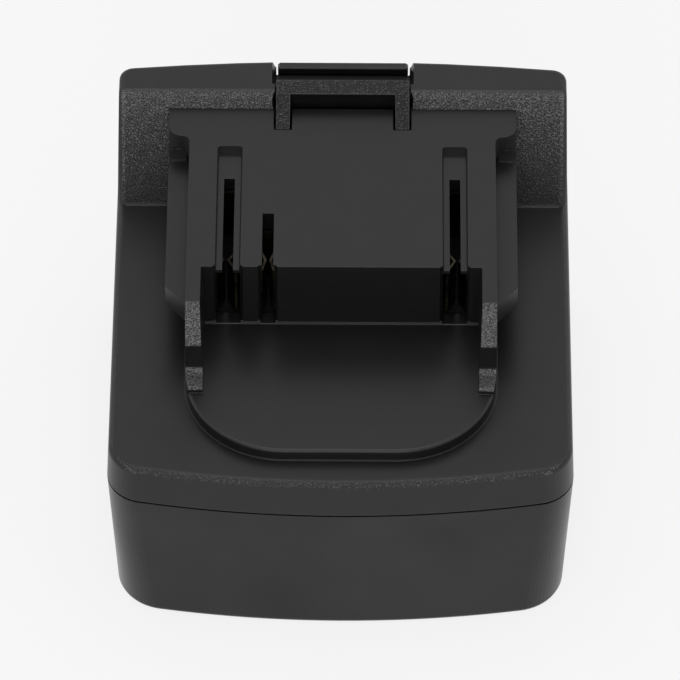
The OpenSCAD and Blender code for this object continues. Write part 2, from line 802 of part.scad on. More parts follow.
// Fillet between a flange's upper face and the front of the shoulder
module shoulder_feet() {
    r = shoulder_foot_r;
    mid = (deck_w + flange_w) / 4;
    both_sides() translate([mid, 0, 0]) across((flange_w - deck_w) / 2 - shoulder_r * 0.5) polygon(concat(
        [[shoulder_y + 1, flange_top - 0.5], [shoulder_y - r, flange_top - 0.5]],
        arc_points([shoulder_y - r, flange_top + r], r, -90, 0, 6),
        [[shoulder_y + 1, flange_top + r]]
    ));
}

module pad_plate() {
    hull() {
        translate([0, 0, flat_z]) linear_extrude(eps) polygon(pad_plan(-0.1));
        for (a = [0:30:90])
            translate([0, 0, pad_z - pad_edge_r * (1 - sin(a)) - eps])
                linear_extrude(eps) polygon(pad_plan(pad_edge_r * (1 - cos(a))));
    }
}

// Recess around a power slot, with a scooped rear end
module slot_recess(x) {
    rear = recess_rear;
    scoop = (pow(recess_scoop, 2) + pow(recess_depth, 2)) / (2 * recess_depth);
    translate([x, 0, 0]) intersection() {
        translate([0, 0, recess_z - 1]) linear_extrude(recess_depth + 2) polygon(rounded([
            [-recess_w / 2, deck_y - 1, 0],
            [recess_w / 2, deck_y - 1, 0],
            [recess_w / 2, rear, recess_r],
            [-recess_w / 2, rear, recess_r]
        ]));
        across(recess_w + 1) polygon(concat(
            [[deck_y - 1, deck_z + 2], [deck_y - 1, recess_z]],
            arc_points([rear - recess_scoop, recess_z + scoop], scoop, -90, -90 + asin(recess_scoop / scoop), 8),
            [[rear, deck_z + 2]]
        ));
        along(deck_y - 1, rear + 1) polygon([
            [-recess_w / 2 + recess_draft, recess_z - 0.5],
            [recess_w / 2 - recess_draft, recess_z - 0.5],
            [recess_w / 2 - recess_draft, recess_z],
            [recess_w / 2, deck_z],
            [recess_w / 2, deck_z + 2],
            [-recess_w / 2, deck_z + 2],
            [-recess_w / 2, deck_z],
            [-recess_w / 2 + recess_draft, recess_z]
        ]);
    }
}

// Opening in the front wall that a tool's blade passes, with a chamfered mouth
module wall_pocket(x, w, top) {
    low = pad_z + pocket_sill;
    translate([x, 0, 0]) {
        along(deck_y - 1, cavity_front + 1) polygon(rounded([
            [-w / 2, low, 0.4],
            [w / 2, low, 0.4],
            [w / 2, top - pocket_lip, 0],
            [-w / 2, top - pocket_lip, 0]
        ]));
        translate([0, 0, low + 0.4]) linear_extrude(deck_z + 1 - low - 0.4) polygon([
            [-w / 2 - pocket_chamfer, deck_y - eps],
            [w / 2 + pocket_chamfer, deck_y - eps],
            [w / 2, deck_y + pocket_chamfer],
            [-w / 2, deck_y + pocket_chamfer]
        ]);
    }
}

module deck_cavity() {
    slab(-cavity_x, cavity_x, cavity_front, cavity_rear, flat_z - 1, plate_z);
}

// Slots in the deck's rear that the latch arms and crossbar move in
module latch_slots() {
    both_sides()
        slab(arm_inner - arm_gap, latch_half + arm_gap, notch_front, rear_y, flat_z - 1, deck_z + 1);
    slab(-latch_half - arm_gap, latch_half + arm_gap, bar_front_y - slide_gap, rear_y, flat_z - 1, deck_z + 1);
    // Room under the tongue for the latch's plate
    slab(-arm_inner, arm_inner, hood_foot_y + 2, rear_y, flat_z - 1, deck_z - deck_plate);
}

module slide_deck() {
    color(deck_black) difference() {
        union() {
            difference() {
                intersection() {
                    union() {
                        translate([0, 0, flange_top - eps]) linear_extrude(flange_drop + eps) deck_plan();
                        translate([0, 0, flange_bottom]) linear_extrude(flange_t) flange_plan();
                        slab(-deck_w / 2, deck_w / 2, deck_y, rear_y, flat_z, flange_top);
                    }
                    deck_limit();
                }
                // The flanges' noses stay outside the ears
                slab(-deck_w / 2 + ear_t, deck_w / 2 - ear_t, pad_front_y, deck_y, flat_z - 1, deck_z + 1);
                deck_cavity();
            }
            pad_plate();
            foot_beads();
            shoulder_feet();
            ear_wall();
            intersection() {
                deck_screw_places() translate([0, 0, flat_z]) cylinder(h = plate_z + 0.5 - flat_z, r = deck_boss_r, $fn = 40);
                slab(-cavity_x - 1, cavity_x + 1, deck_y, cavity_rear + 1, flat_z, plate_z + 0.5);
            }
        }
        for (s = [-1, 1]) {
            slot_recess(s * slot_x);
            slab(s * slot_x - slot_w / 2, s * slot_x + slot_w / 2, deck_y - 1, slot_rear, plate_z - 1, deck_z + 1);
            wall_pocket(s * slot_x, recess_w, recess_z);
        }
        slab(-signal_x - signal_slot_w / 2, -signal_x + signal_slot_w / 2, deck_y - 1, deck_y + signal_slot_len,
            plate_z - 1, deck_z + 1);
        wall_pocket(-signal_x, signal_pocket_w, deck_z);
        latch_slots();
        deck_screw_places() translate([0, 0, flat_z - 1]) cylinder(h = thread_grip + 1.5 + 1, r = pilot_r, $fn = 40);
    }
}

// Insulating block that carries the three spring contacts
module channel_body(x, span, rear) {
    half = span / 2 + clip_t / 2 + channel_side;
    outer = min(half + channel_wall, cavity_x - slide_gap - abs(x));
    slab(x - outer, x + outer, cavity_front + slide_gap, rear + channel_wall + 0.6, flat_z, block_top);
}

module channel_void(x, span, rear) {
    half = span / 2 + clip_t / 2 + channel_side;
    slab(x - half, x + half, cavity_front - 1, rear + 0.6, flat_z + block_base, block_top + 1);
    slab(x - tail_w / 2 - slide_gap, x + tail_w / 2 + slide_gap, rear - 0.9, rear + 0.6, flat_z - 1, flat_z + block_base + 1);
}

module contact_block() {
    color(block_grey) difference() {
        union() {
            slab(-cavity_x + slide_gap, cavity_x - slide_gap, cavity_front + slide_gap, clip_rear + channel_wall + 0.6,
                flat_z, flat_z + block_base);
            for (s = [-1, 1]) channel_body(s * clip_x, clip_span, clip_rear);
            channel_body(-signal_x, signal_span, signal_rear);
        }
        for (s = [-1, 1]) channel_void(s * clip_x, clip_span, clip_rear);
        channel_void(-signal_x, signal_span, signal_rear);
        deck_screw_places() translate([0, 0, flat_z - 1]) cylinder(h = deck_h, r = deck_boss_r + slide_gap, $fn = 40);
    }
}

// Spring contact: two leaves that pinch the tool's blade, a rear web and a solder tail
function leaf_path(span) = [
    [span / 2 - 0.1, pinch_y - flare_len],
    [clip_gap / 2 + clip_t / 2, pinch_y],
    [span / 2, pinch_y + neck_len],
    [span / 2, 0]
];

module spring_clip(x, span, rear, tail_bottom_z) {
    path = leaf_path(span);
    half = clip_t / 2;
    translate([x, 0, 0]) {
        both_sides() translate([0, 0, clip_bottom]) linear_extrude(clip_top - clip_bottom) polygon([
            [path[0].x - half, path[0].y],
            [path[1].x - half, path[1].y],
            [path[2].x - half, path[2].y],
            [path[3].x - half, rear],
            [path[3].x + half, rear],
            [path[2].x + half, path[2].y],
            [path[1].x + half, path[1].y],
            [path[0].x + half, path[0].y]
        ]);
        slab(-span / 2 - half, span / 2 + half, rear - clip_t, rear, clip_bottom, clip_top);
        slab(-tail_w / 2, tail_w / 2, rear - clip_t, rear, tail_bottom_z, clip_bottom + 1);
    }
}

module positive_clip() {
    color(brass) spring_clip(clip_x, clip_span, clip_rear, tail_bottom);
}

module negative_clip() {
    color(brass) spring_clip(-clip_x, clip_span, clip_rear, tail_bottom);
}

module signal_clip() {
    color(brass) spring_clip(-signal_x, signal_span, signal_rear, tail_bottom);
}

// Latch: two ramped arms, the crossbar that locks the tool, and a plate over the springs
module latch_slider() {
    color(latch_black) difference() {
        union() {
            both_sides() translate([latch_half - arm_w / 2, 0, 0]) across(arm_w) polygon([
                [arm_front_y, deck_z - 4.5],
                [arm_front_y, deck_z - 0.1],
                [bar_front_y, latch_top],
                [bar_rear_y, latch_top],
                [bar_rear_y, deck_z - 6],
                [bar_front_y, deck_z - 6]
            ]);
            slab(-latch_half, latch_half, bar_front_y, bar_rear_y, latch_plate_z, latch_top);
            slab(-guide_half + slide_gap, guide_half - slide_gap, bar_rear_y - 1.6, bar_rear_y,
                latch_wing_top - latch_wing_h, latch_wing_top);
            slab(-latch_half, latch_half, bar_front_y - 1.5, min(bar_rear_y + 1.5, button_flange_front - seat_gap),
                latch_plate_z, latch_plate_z + latch_plate_t);
            slab(-bridge_half, bridge_half, bar_rear_y - 1, button_flange_front, bridge_z, bridge_z + bridge_h);
            for (s = [-1, 1]) post(s * spring_x, spring_y, latch_plate_z - peg_h, latch_plate_z + 1, peg_r);
        }
        for (s = [-1, 1])
            translate([s * pin_x, button_flange_front + 1, bridge_z + bridge_h / 2]) rotate([90, 0, 0])
                cylinder(h = pin_len + 1.3, r = pin_r + seat_gap, $fn = 32);
    }
}

// Release button: thumb plate in the rear window, with a flange behind the wall
module release_button() {
    top = button_top;
    color(latch_black) {
        difference() {
            union() {
                slab(-button_half, button_half, button_front, button_rear, top - button_h, top);
                // Neck and flange behind the rear wall
                slab(-button_half, button_half, button_flange_rear - eps, button_front + eps, top - button_h, button_flange_top);
                slab(-button_flange_half, button_flange_half, button_flange_front, button_flange_rear,
                    button_flange_bottom, button_flange_top);
                for (i = [0:grip_ribs - 1])
                    translate([0, 0, top - 3.2 - i * 2.4]) across(2 * button_half - 5) polygon([
                        [button_rear - 0.3, -0.8],
                        [button_rear + 0.5, -0.25],
                        [button_rear + 0.5, 0.25],
                        [button_rear - 0.3, 0.8]
                    ]);
                for (s = [-1, 1])
                    translate([s * pin_x, button_flange_front + 0.5, bridge_z + bridge_h / 2]) rotate([90, 0, 0])
                        cylinder(h = pin_len + 0.5, r = pin_r, $fn = 32);
            }
            // Chamfered front upper edge and upper ends
            across(body_w) polygon([
                [button_front - 1, top - 0.2],
                [button_front, top - 0.2],
                [button_front + 0.2, top],
                [button_front + 0.2, top + 1],
                [button_front - 1, top + 1]
            ]);
            both_sides() along(button_front - 1, button_rear + 2) polygon([
                [button_half - 0.4, top],
                [button_half - 0.4, top + 1],
                [button_half + 1, top + 1],
                [button_half + 1, top - 0.4],
                [button_half, top - 0.4]
            ]);
        }
    }
}

// Compression spring as a swept helix
function ring(c, u, v, r, n) = [for (i = [0:n - 1]) c + r * (cos(360 * i / n) * u + sin(360 * i / n) * v)];

function tube_faces(rings, n) = concat(
    [[for (i = [0:n - 1]) n - 1 - i]],
    [for (j = [0:rings - 2], i = [0:n - 1]) let (k = (i + 1) % n)
        each [[j * n + i, j * n + k, (j + 1) * n + k], [j * n + i, (j + 1) * n + k, (j + 1) * n + i]]],
    [[for (i = [0:n - 1]) (rings - 1) * n + i]]
);

module coil_spring(x) {
    low = spring_seat_z + spring_wire / 2 + 0.02;
    high = latch_plate_z - spring_wire / 2 - 0.02;
    steps = spring_turns * 12;
    sides = 8;
    rings = [
        for (i = [0:steps])
            let (a = 360 * spring_turns * i / steps, z = low + (high - low) * i / steps)
            ring([x + spring_r * cos(a), spring_y + spring_r * sin(a), z], [cos(a), sin(a), 0], [0, 0, 1],
                spring_wire / 2, sides)
    ];
    polyhedron([for (r = rings) each r], tube_faces(steps + 1, sides), convexity = 8);
}

module left_spring() {
    color(spring_steel) coil_spring(-spring_x);
}

module right_spring() {
    color(spring_steel) coil_spring(spring_x);
}

// Terminal block on the bay's front wall, which holds the battery's blades
module terminal_block() {
    color(block_grey) difference() {
        slab(-terminal_w / 2, terminal_w / 2, bay_front_y, terminal_rear_y, bay_h - terminal_h, bay_h);
        for (x = [-blade_pitch / 2, -signal_blade_x, blade_pitch / 2]) {
            slab(x - blade_t / 2 - seat_gap, x + blade_t / 2 + seat_gap, blade_y - seat_gap, terminal_rear_y + 1,
                blade_z - seat_gap, blade_z + blade_h + seat_gap);
            slab(x - blade_t / 2 - seat_gap, x + blade_t / 2 + seat_gap, blade_y - seat_gap, blade_y + riser_len + seat_gap,
                blade_z, bay_h + 1);
        }
        terminal_screw_places() {
            translate([0, 0, bay_h - terminal_h - 1]) cylinder(h = terminal_seat - bay_h + terminal_h + 1, r = head_hole_r, $fn = 40);
            translate([0, 0, bay_h - terminal_h - 1]) cylinder(h = terminal_h + 2, r = clear_r, $fn = 40);
        }
    }
}

// Male blade with its riser through the bay's roof and its solder tail
module male_blade(x) {
    tip = terminal_rear_y + blade_len;
    translate([x, 0, 0]) across(blade_t) polygon([
        [blade_y, blade_z],
        [tip - 1.2, blade_z],
        [tip, blade_z + 1],
        [tip, blade_z + blade_h - 1],
        [tip - 1.2, blade_z + blade_h],
        [blade_y + riser_len, blade_z + blade_h],
        [blade_y + riser_len, tail_z - tail_h / 2],
        [tail_end_y, tail_z - tail_h / 2],
        [tail_end_y, tail_z + tail_h / 2],
        [blade_y, tail_z + tail_h / 2]
    ]);
}

module positive_blade() {
    color(tin) male_blade(blade_pitch / 2);
}

module negative_blade() {
    color(tin) male_blade(-blade_pitch / 2);
}

module signal_blade() {
    color(tin) male_blade(-signal_blade_x);
}

// Inner wire from a contact's tail down and forward to a blade's tail
function bezier(p, t) =
    pow(1 - t, 3) * p[0] + 3 * pow(1 - t, 2) * t * p[1] + 3 * (1 - t) * t * t * p[2] + pow(t, 3) * p[3];

function wire_route(top_x, top_y, end_x) =
    let (
        start = [top_x, top_y - clip_t / 2, tail_bottom - 0.05],
        down = start - [0, 0, sleeve_len / 2 + 0.2],
        finish = [end_x, tail_end_y + 0.05, tail_z],
        back = finish + [0, sleeve_len / 2 + 0.2, 0],
        reach = (down.y - back.y) * 0.35,
        p = [down, down - [0, 0, 3.6], back + [0, reach, 0], back]
    )
    concat([start], [for (i = [0:14]) bezier(p, i / 14)], [finish]);

module swept_tube(route, r, sides) {
    last = len(route) - 1;
    rings = [
        for (i = [0:last])
            let (
                t = unit(route[min(i + 1, last)] - route[max(i - 1, 0)]),
                u = unit(cross([1, 0, 0], t)),
                v = cross(t, u)
            )
            ring(route[i], u, v, r, sides)
    ];
    polyhedron([for (g = rings) each g], tube_faces(last + 1, sides), convexity = 6);
}

module positive_wire() {
    color("firebrick") swept_tube(wire_route(clip_x, clip_rear, blade_pitch / 2), power_r, 12);
}

module negative_wire() {
    color("#1c1c1e") swept_tube(wire_route(-clip_x, clip_rear, -blade_pitch / 2), power_r, 12);
}

module signal_wire() {
    color("gainsboro") swept_tube(wire_route(-signal_x, signal_rear, -signal_blade_x), signal_r, 12);
}

// Shrink sleeves over the six soldered ends
module sleeve(inner) {
    translate([0, 0, -sleeve_len / 2]) difference() {
        cylinder(h = sleeve_len, r = inner + sleeve_t, $fn = 32);
        translate([0, 0, -1]) cylinder(h = sleeve_len + 2, r = inner, $fn = 32);
    }
}

module wire_sleeves() {
    bore = max(power_r, norm([tail_w, clip_t]) / 2, norm([blade_t, tail_h]) / 2) + 0.12;
    color("#161616") {
        for (p = [[-clip_x, clip_rear], [clip_x, clip_rear], [-signal_x, signal_rear]])
            translate([p.x, p.y - clip_t / 2, tail_bottom]) sleeve(bore);
        for (x = [-blade_pitch / 2, -signal_blade_x, blade_pitch / 2])
            translate([x, tail_end_y + 0.6, tail_z]) rotate([90, 0, 0]) sleeve(bore);
    }
}

// Pan-head screw pointing up, with its seat at z = 0
module pan_screw(length) {
    difference() {
        union() {
            translate([0, 0, -head_h]) cylinder(h = head_h, r = head_r, $fn = 40);
            translate([0, 0, -eps]) cylinder(h = length - 1, r = screw_r, $fn = 40);
            translate([0, 0, length - 1 - eps]) cylinder(h = 1, r1 = screw_r, r2 = screw_r * 0.55, $fn = 40);
        }
        for (a = [0, 90]) rotate([0, 0, a])
            translate([-head_r * 0.6, -cross_w / 2, -head_h - 1]) cube([head_r * 1.2, cross_w, 1 + head_h * 0.55]);
    }
}

module case_screws() {
    color(screw_steel) case_screw_places() translate([0, 0, case_seat])
        pan_screw(column_top + thread_grip - 0.5 - case_seat);
}

module deck_screws() {
    color(screw_steel) deck_screw_places() translate([0, 0, roof_z]) pan_screw(wall + thread_grip + 1);
}

module terminal_screws() {
    color(screw_steel) terminal_screw_places() translate([0, 0, terminal_seat])
        pan_screw(terminal_boss_top - terminal_seat);
}

lower_shell();
top_cover();
slide_deck();
contact_block();
positive_clip();
negative_clip();
signal_clip();
latch_slider();
release_button();
left_spring();
right_spring();
terminal_block();
positive_blade();
negative_blade();
signal_blade();
positive_wire();
negative_wire();
signal_wire();
wire_sleeves();
case_screws();
deck_screws();
terminal_screws();
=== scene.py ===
from math import cos, radians, sin

import bpy
from mathutils import Matrix, Vector


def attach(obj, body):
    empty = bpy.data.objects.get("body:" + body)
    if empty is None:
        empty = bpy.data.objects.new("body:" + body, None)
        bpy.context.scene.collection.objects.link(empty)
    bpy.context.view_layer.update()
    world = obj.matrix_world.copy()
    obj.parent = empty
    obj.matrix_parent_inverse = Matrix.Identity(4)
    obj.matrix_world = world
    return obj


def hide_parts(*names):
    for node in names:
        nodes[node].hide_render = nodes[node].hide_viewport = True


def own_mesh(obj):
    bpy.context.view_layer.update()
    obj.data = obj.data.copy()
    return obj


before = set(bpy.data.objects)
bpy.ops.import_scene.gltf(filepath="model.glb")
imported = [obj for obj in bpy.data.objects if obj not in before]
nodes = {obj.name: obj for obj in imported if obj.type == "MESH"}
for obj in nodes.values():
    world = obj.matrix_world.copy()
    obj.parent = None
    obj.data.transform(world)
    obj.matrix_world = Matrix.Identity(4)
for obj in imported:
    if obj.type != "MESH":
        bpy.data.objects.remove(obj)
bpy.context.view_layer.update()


# Lower shell: the black skirt that holds the battery bay, its ledges and the screw columns.
# Injection moulded ABS from a polished tool, so it is smooth and dark, with faint flow clouds.
# The ejector pins leave rings on the bay's roof, seen from below.
def linear_colour(code):
    """The linear colour of an sRGB hex code, with full alpha."""
    channels = [int(code[i:i + 2], 16) / 255 for i in (1, 3, 5)]
    return [c / 12.92 if c <= 0.04045 else ((c + 0.055) / 1.055) ** 2.4 for c in channels] + [1.0]


def add_node(tree, kind, settings=None, links=None):
    """Adds a node; settings name its attributes or input sockets, links feed its sockets."""
    node = tree.nodes.new(kind)
    for name, value in (settings or {}).items():
        if name in node.inputs:
            node.inputs[name].default_value = value
        else:
            setattr(node, name, value)
    for name, source in (links or {}).items():
        tree.links.new(source, node.inputs[name])
    return node


def start_material(name, settings):
    """A new material with its node tree, its shader and the coordinates of the object."""
    material = bpy.data.materials.new(name)
    material.use_nodes = True
    tree = material.node_tree
    tree.nodes.clear()
    surface = add_node(tree, "ShaderNodeBsdfPrincipled", settings)
    add_node(tree, "ShaderNodeOutputMaterial", links={"Surface": surface.outputs["BSDF"]})
    place = add_node(tree, "ShaderNodeTexCoord").outputs["Object"]
    return material, tree, surface, place


def dress(node_name, material):
    slots = nodes[node_name].data.materials
    slots.clear()
    slots.append(material)


def cloud(tree, place, grain, detail=2.0, rough=0.5):
    """Noise whose blotches are about grain metres across."""
    settings = {"Scale": 1 / grain, "Detail": detail, "Roughness": rough}
    return add_node(tree, "ShaderNodeTexNoise", settings, {"Vector": place}).outputs["Fac"]


def ramp_between(tree, value, low, high, to_low=0.0, to_high=1.0):
    """Value carried over from the range low to high to the range to_low to to_high, and held there."""
    settings = {"From Min": low, "From Max": high, "To Min": to_low, "To Max": to_high}
    return add_node(tree, "ShaderNodeMapRange", settings, {"Value": value}).outputs["Result"]


def combine(tree, operation, first, second):
    """A sum, product or the like of two values, each a socket or a plain number."""
    node = add_node(tree, "ShaderNodeMath", {"operation": operation})
    for socket, value in zip(node.inputs, (first, second)):
        if isinstance(value, float):
            socket.default_value = value
        else:
            tree.links.new(value, socket)
    return node.outputs["Value"]


def tone_between(tree, value, low, dark, high, pale):
    """A colour that goes from dark, where value is low, to pale, where it is high."""
    ramp = add_node(tree, "ShaderNodeValToRGB", links={"Fac": value})
    for stop, position, code in zip(ramp.color_ramp.elements, (low, high), (dark, pale)):
        stop.position = position
        stop.color = linear_colour(code)
    return ramp.outputs["Color"]


def soften(tree, radius):
    """The normal of a surface whose edges are rounded by radius."""
    return add_node(tree, "ShaderNodeBevel", {"samples": 4, "Radius": radius}).outputs["Normal"]


def raise_relief(tree, height, strength, distance, normal=None):
    """The normal of a surface raised by height times distance metres."""
    links = {"Height": height, "Normal": normal} if normal else {"Height": height}
    settings = {"Strength": strength, "Distance": distance}
    return add_node(tree, "ShaderNodeBump", settings, links).outputs["Normal"]


def feed(tree, surface, **sources):
    """Links sources to the sockets of the shader: tone, gloss (its roughness) and normal."""
    sockets = {"tone": "Base Color", "gloss": "Roughness", "normal": "Normal"}
    for name, source in sources.items():
        tree.links.new(source, surface.inputs[sockets[name]])


shell_abs, tree, surface, place = start_material("polished ABS, black",
                                                 {"IOR": 1.52, "Specular IOR Level": 0.3})
bay_roof = 0.022
pin_radius = 0.002
ring_width = 0.0002
nearest_pin = 1.0
for x in (-0.024, 0.0, 0.024):
    for y in (-0.008, 0.012, 0.035):
        from_pin = add_node(tree, "ShaderNodeVectorMath", {"operation": "DISTANCE"}, {"Vector": place})
        from_pin.inputs[1].default_value = (x, y, bay_roof)
        nearest_pin = combine(tree, "MINIMUM", nearest_pin, from_pin.outputs["Value"])
sunken = raise_relief(tree, cloud(tree, place, 0.022, 1.0, 0.4), 0.35, 0.0004, soften(tree, 0.0002))
pin_edge = ramp_between(tree, nearest_pin, pin_radius - ring_width / 2, pin_radius + ring_width / 2)
feed(tree, surface,
     tone=tone_between(tree, cloud(tree, place, 0.018, 2.0, 0.45), 0.3, "#080809", 0.7, "#1b1b1c"),
     gloss=ramp_between(tree, cloud(tree, place, 0.025, 3.0), 0.3, 0.7, 0.22, 0.34),
     normal=raise_relief(tree, pin_edge, 1.0, 0.00008, sunken))
dress("lower_shell", shell_abs)


# Terminal block and contact block: the two insulating carriers of the metal contacts.
# Moulded in glass-filled nylon, which is duller than the ABS, with short fibres that show
# as a fine pale fleck.
insulator, tree, surface, place = start_material("glass-filled nylon, black",
                                                 {"IOR": 1.53, "Specular IOR Level": 0.2, "Roughness": 0.6})
fleck = cloud(tree, place, 0.0006, 4.0, 0.6)
feed(tree, surface,
     tone=tone_between(tree, fleck, 0.42, "#0a0a0b", 0.72, "#1b1b1c"),
     normal=raise_relief(tree, fleck, 0.3, 0.00005))
dress("terminal_block", insulator)
dress("contact_block", insulator)


# Male blades: three flat blades that enter the donor battery, pressed into the terminal block.
# Stamped brass strip with matt tin plating; the strip's rolling lines run along each blade.
tin_plate, tree, surface, place = start_material("tin-plated brass strip",
                                                 {"Base Color": linear_colour("#b9bbbd"), "Metallic": 1.0})
along_strip = add_node(tree, "ShaderNodeMapping", {"Scale": (1.0, 0.04, 1.0)}, {"Vector": place})
rolling = cloud(tree, along_strip.outputs["Vector"], 0.0004, 3.0)
feed(tree, surface,
     gloss=ramp_between(tree, rolling, 0.0, 1.0, 0.28, 0.5),
     normal=raise_relief(tree, rolling, 0.2, 0.00003))
for name in ("positive_blade", "negative_blade", "signal_blade"):
    dress(name, tin_plate)


# Wires: three flexible leads from the contacts' tails to the blades' tails.
# Extruded PVC insulation in red, black and white, slightly glossy, with faint drawing ripples.
def wire_pvc(name, code):
    material, tree, surface, place = start_material(name, {"Base Color": linear_colour(code), "IOR": 1.53})
    ripple = cloud(tree, place, 0.0015, 2.0)
    feed(tree, surface,
         gloss=ramp_between(tree, ripple, 0.0, 1.0, 0.3, 0.48),
         normal=raise_relief(tree, ripple, 0.15, 0.0001))
    return material


dress("positive_wire", wire_pvc("extruded PVC, red", "#a51d1a"))
dress("negative_wire", wire_pvc("extruded PVC, black", "#1d1d1f"))
dress("signal_wire", wire_pvc("extruded PVC, white", "#d8d7d2"))


# Shrink sleeves: six short tubes shrunk over the soldered ends.
# Polyolefin, matt black, with the lengthwise wrinkles that shrinking leaves.
sleeve_film, tree, surface, place = start_material("shrunk polyolefin", {"IOR": 1.5, "Roughness": 0.5})
wrinkle = cloud(tree, place, 0.0008, 2.0)
feed(tree, surface,
     tone=tone_between(tree, wrinkle, 0.0, "#151516", 1.0, "#262628"),
     normal=raise_relief(tree, wrinkle, 0.4, 0.0001))
dress("wire_sleeves", sleeve_film)


# Latch springs: two compression springs that push the latch up, one over each peg. Coiled from
# drawn music wire, grey and bright, with closed ends.
def active_from(operator, **settings):
    """Runs an operator that adds an object, with nothing else selected, and returns that object."""
    bpy.ops.object.select_all(action="DESELECT")
    operator(**settings)
    bpy.ops.object.transform_apply()
    return bpy.context.object


def finish_modifier(piece, kind, **settings):
    """Adds a modifier to the active object and applies it."""
    modifier = piece.modifiers.new(kind.lower(), kind)
    for name, value in settings.items():
        setattr(modifier, name, value)
    bpy.ops.object.modifier_apply(modifier=modifier.name)


def join_into(piece, others):
    bpy.ops.object.select_all(action="DESELECT")
    for other in others:
        other.select_set(True)
    piece.select_set(True)
    bpy.context.view_layer.objects.active = piece
    bpy.ops.object.join()


def coil(corners, wire_radius, radius, start, runs):
    """A swept coil about the Z axis from height start; each run gives its turns and its pitch."""
    lengths = []
    for turns, pitch in runs:
        length = active_from(bpy.ops.mesh.primitive_circle_add, vertices=corners, radius=wire_radius,
                             location=(radius, 0, start), rotation=(radians(90), radians(90), 0))
        finish_modifier(length, "SCREW", screw_offset=pitch, iterations=turns, steps=24, render_steps=24,
                        use_merge_vertices=True, merge_threshold=0.000001)
        lengths.append(length)
        start += turns * pitch
    join_into(lengths[0], lengths[1:])
    bpy.ops.object.mode_set(mode="EDIT")
    bpy.ops.mesh.select_all(action="SELECT")
    bpy.ops.mesh.remove_doubles(threshold=0.000002)
    bpy.ops.mesh.fill_holes(sides=0)
    bpy.ops.mesh.select_all(action="SELECT")
    bpy.ops.mesh.normals_make_consistent(inside=False)
    bpy.ops.object.mode_set(mode="OBJECT")
    return lengths[0]


def hand_in(piece, node_name):
    """Lets a modelled piece of the housing stand for the CAD node."""
    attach(piece, "housing")
    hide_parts(node_name)


spring_wire, tree, surface, place = start_material("drawn spring wire",
                                                   {"Base Color": linear_colour("#8f9499"), "Metallic": 1.0})
feed(tree, surface, gloss=ramp_between(tree, cloud(tree, place, 0.0003, 2.0), 0.0, 1.0, 0.2, 0.42))
wire_radius = 0.00034
spring_radius = 0.0023
closed_turn = (1, 0.0007)
open_turns = (5, 0.002192)
for side, x in (("left", -0.0075), ("right", 0.0075)):
    spring = coil(14, wire_radius, spring_radius, 0.02657, [closed_turn, open_turns, closed_turn])
    foot = (x, 0.035416, 0.0262)
    spring.data.transform(Matrix.Translation((foot[0], foot[1], 0)))
    spring.data.materials.append(spring_wire)
    bpy.ops.object.shade_smooth_by_angle(angle=radians(40))
    spring.name = side + "_spring_coil"
    hand_in(spring, side + "_spring")
    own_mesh(spring)


# Top cover: the lid with its raised hood, screwed to the lower shell from below.
# Moulded ABS. Its flat roof is satin; the hood and the lid's edge come from a spark-eroded part
# of the tool, which leaves a grain of about 0.25 mm. Its sparkle is painted: pale crests as glints,
# more of them at the sides and front as painted highlight, fewer low on the hood as painted shade;
# every edge is painted pale as a highlight.
def mix_tone(tree, share, first, second):
    """First where share is 0 and second where it is 1; each is a hex code or a socket."""
    blend = add_node(tree, "ShaderNodeMix", {"data_type": "RGBA"})
    tree.links.new(share, blend.inputs[0])
    for socket, tone in ((blend.inputs[6], first), (blend.inputs[7], second)):
        if isinstance(tone, str):
            socket.default_value = linear_colour(tone)
        else:
            tree.links.new(tone, socket)
    return blend.outputs[2]


def parts_of(tree, vector):
    """The X, Y and Z sockets of a vector."""
    return add_node(tree, "ShaderNodeSeparateXYZ", links={"Vector": vector}).outputs


def face_normal(tree):
    return add_node(tree, "ShaderNodeNewGeometry").outputs["Normal"]


def size_of(tree, value):
    return add_node(tree, "ShaderNodeMath", {"operation": "ABSOLUTE"}, {"Value": value}).outputs["Value"]


def erode(tree, surface, place, mask, smooth_tone, grain, depth, soft_radius, edge_highlight_tone, glint_dimming=0.0):
    """Spark-eroded grain where mask is 1: dark pits, a painted shade, and pale crests, painted glints; the
    dimming value takes crests away.

    All edges are rounded by soft_radius and painted in the pale edge tone, a painted highlight.
    """
    pits = cloud(tree, place, grain, 3.0, 0.6)
    crests = combine(tree, "SUBTRACT", pits, glint_dimming)
    # Painted light: pits are painted dark as shade and crests pale as glints.
    grained = tone_between(tree, crests, 0.44, "#030303", 0.64, "#707072")
    rounded = soften(tree, soft_radius)
    lean = add_node(tree, "ShaderNodeVectorMath", {"operation": "DOT_PRODUCT"})
    tree.links.new(rounded, lean.inputs[0])
    tree.links.new(face_normal(tree), lean.inputs[1])
    # Painted highlight: near every edge the colour turns to the pale edge tone.
    painted_edge_highlight = ramp_between(tree, lean.outputs["Value"], 0.985, 0.8)
    feed(tree, surface,
         tone=mix_tone(tree, painted_edge_highlight, mix_tone(tree, mask, smooth_tone, grained), edge_highlight_tone),
         normal=raise_relief(tree, combine(tree, "MULTIPLY", pits, mask), 1.0, depth, rounded))


cover_abs, tree, surface, place = start_material("eroded ABS, black",
                                                 {"IOR": 1.52, "Specular IOR Level": 0.35})
position = parts_of(tree, place)
facing = parts_of(tree, face_normal(tree))
sideways = size_of(tree, facing["X"])
off_flat = ramp_between(tree, facing["Z"], 0.995, 0.8)
off_upright = combine(tree, "MULTIPLY", ramp_between(tree, facing["Z"], 0.05, 0.25),
                      ramp_between(tree, sideways, 0.6, 0.3))
eroded = combine(tree, "MULTIPLY", off_flat, off_upright)
